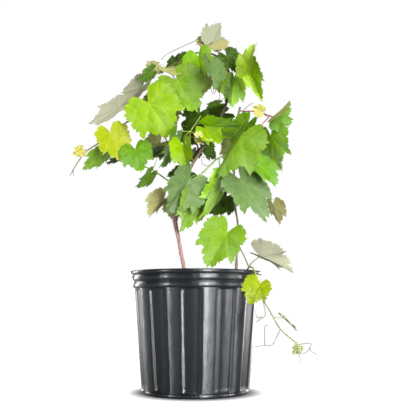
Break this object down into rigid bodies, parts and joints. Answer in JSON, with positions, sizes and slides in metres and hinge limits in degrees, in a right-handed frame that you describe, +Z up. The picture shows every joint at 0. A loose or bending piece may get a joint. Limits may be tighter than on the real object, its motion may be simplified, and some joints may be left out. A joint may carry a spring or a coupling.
{
  "type": "potted grapevine",
  "caption": "Young grapevine in a black nursery pot: slim canes rise to an arched bough with lobed leaves, tendrils and a shoot that hangs over the rim.",
  "frame": {"origin": "centre of the pot's flat underside", "axes": "+Z up along the pot's axis, -Y towards the front of the plant, +X to the right as seen from the front"},
  "size_m": [0.4947, 0.276, 0.771],
  "materials": {
    "pot": "glossy black moulded polyethylene",
    "soil": "matt, dark, coarse bark and peat mix",
    "bark": "thin pinkish brown bark, satin",
    "leaf": "fresh green, slightly glossy above and paler below",
    "old_leaf": "deep green, slightly glossy above and paler below"
  },
  "bodies": {
    "root": {"pot": "pot", "soil": "soil", "main_cane": "bark", "right_cane": "bark", "rising_cane": "bark", "arching_cane": "bark", "leaves_left_lower": "leaf", "leaves_left_upper": "leaf", "leaves_low_centre": "leaf", "leaves_heart": "leaf", "leaves_crown_left": "leaf", "leaves_crown_top": "leaf", "leaves_right_upper": "leaf", "leaves_right": "leaf", "leaves_right_lower": "leaf", "leaves_over_pot": "leaf", "leaves_hanging": "leaf", "leaves_back_left": "old_leaf", "leaves_back_middle": "old_leaf", "leaves_back_crown": "old_leaf", "leaves_back_right": "old_leaf", "leaves_back_low": "old_leaf"}
  },
  "joints": []
}
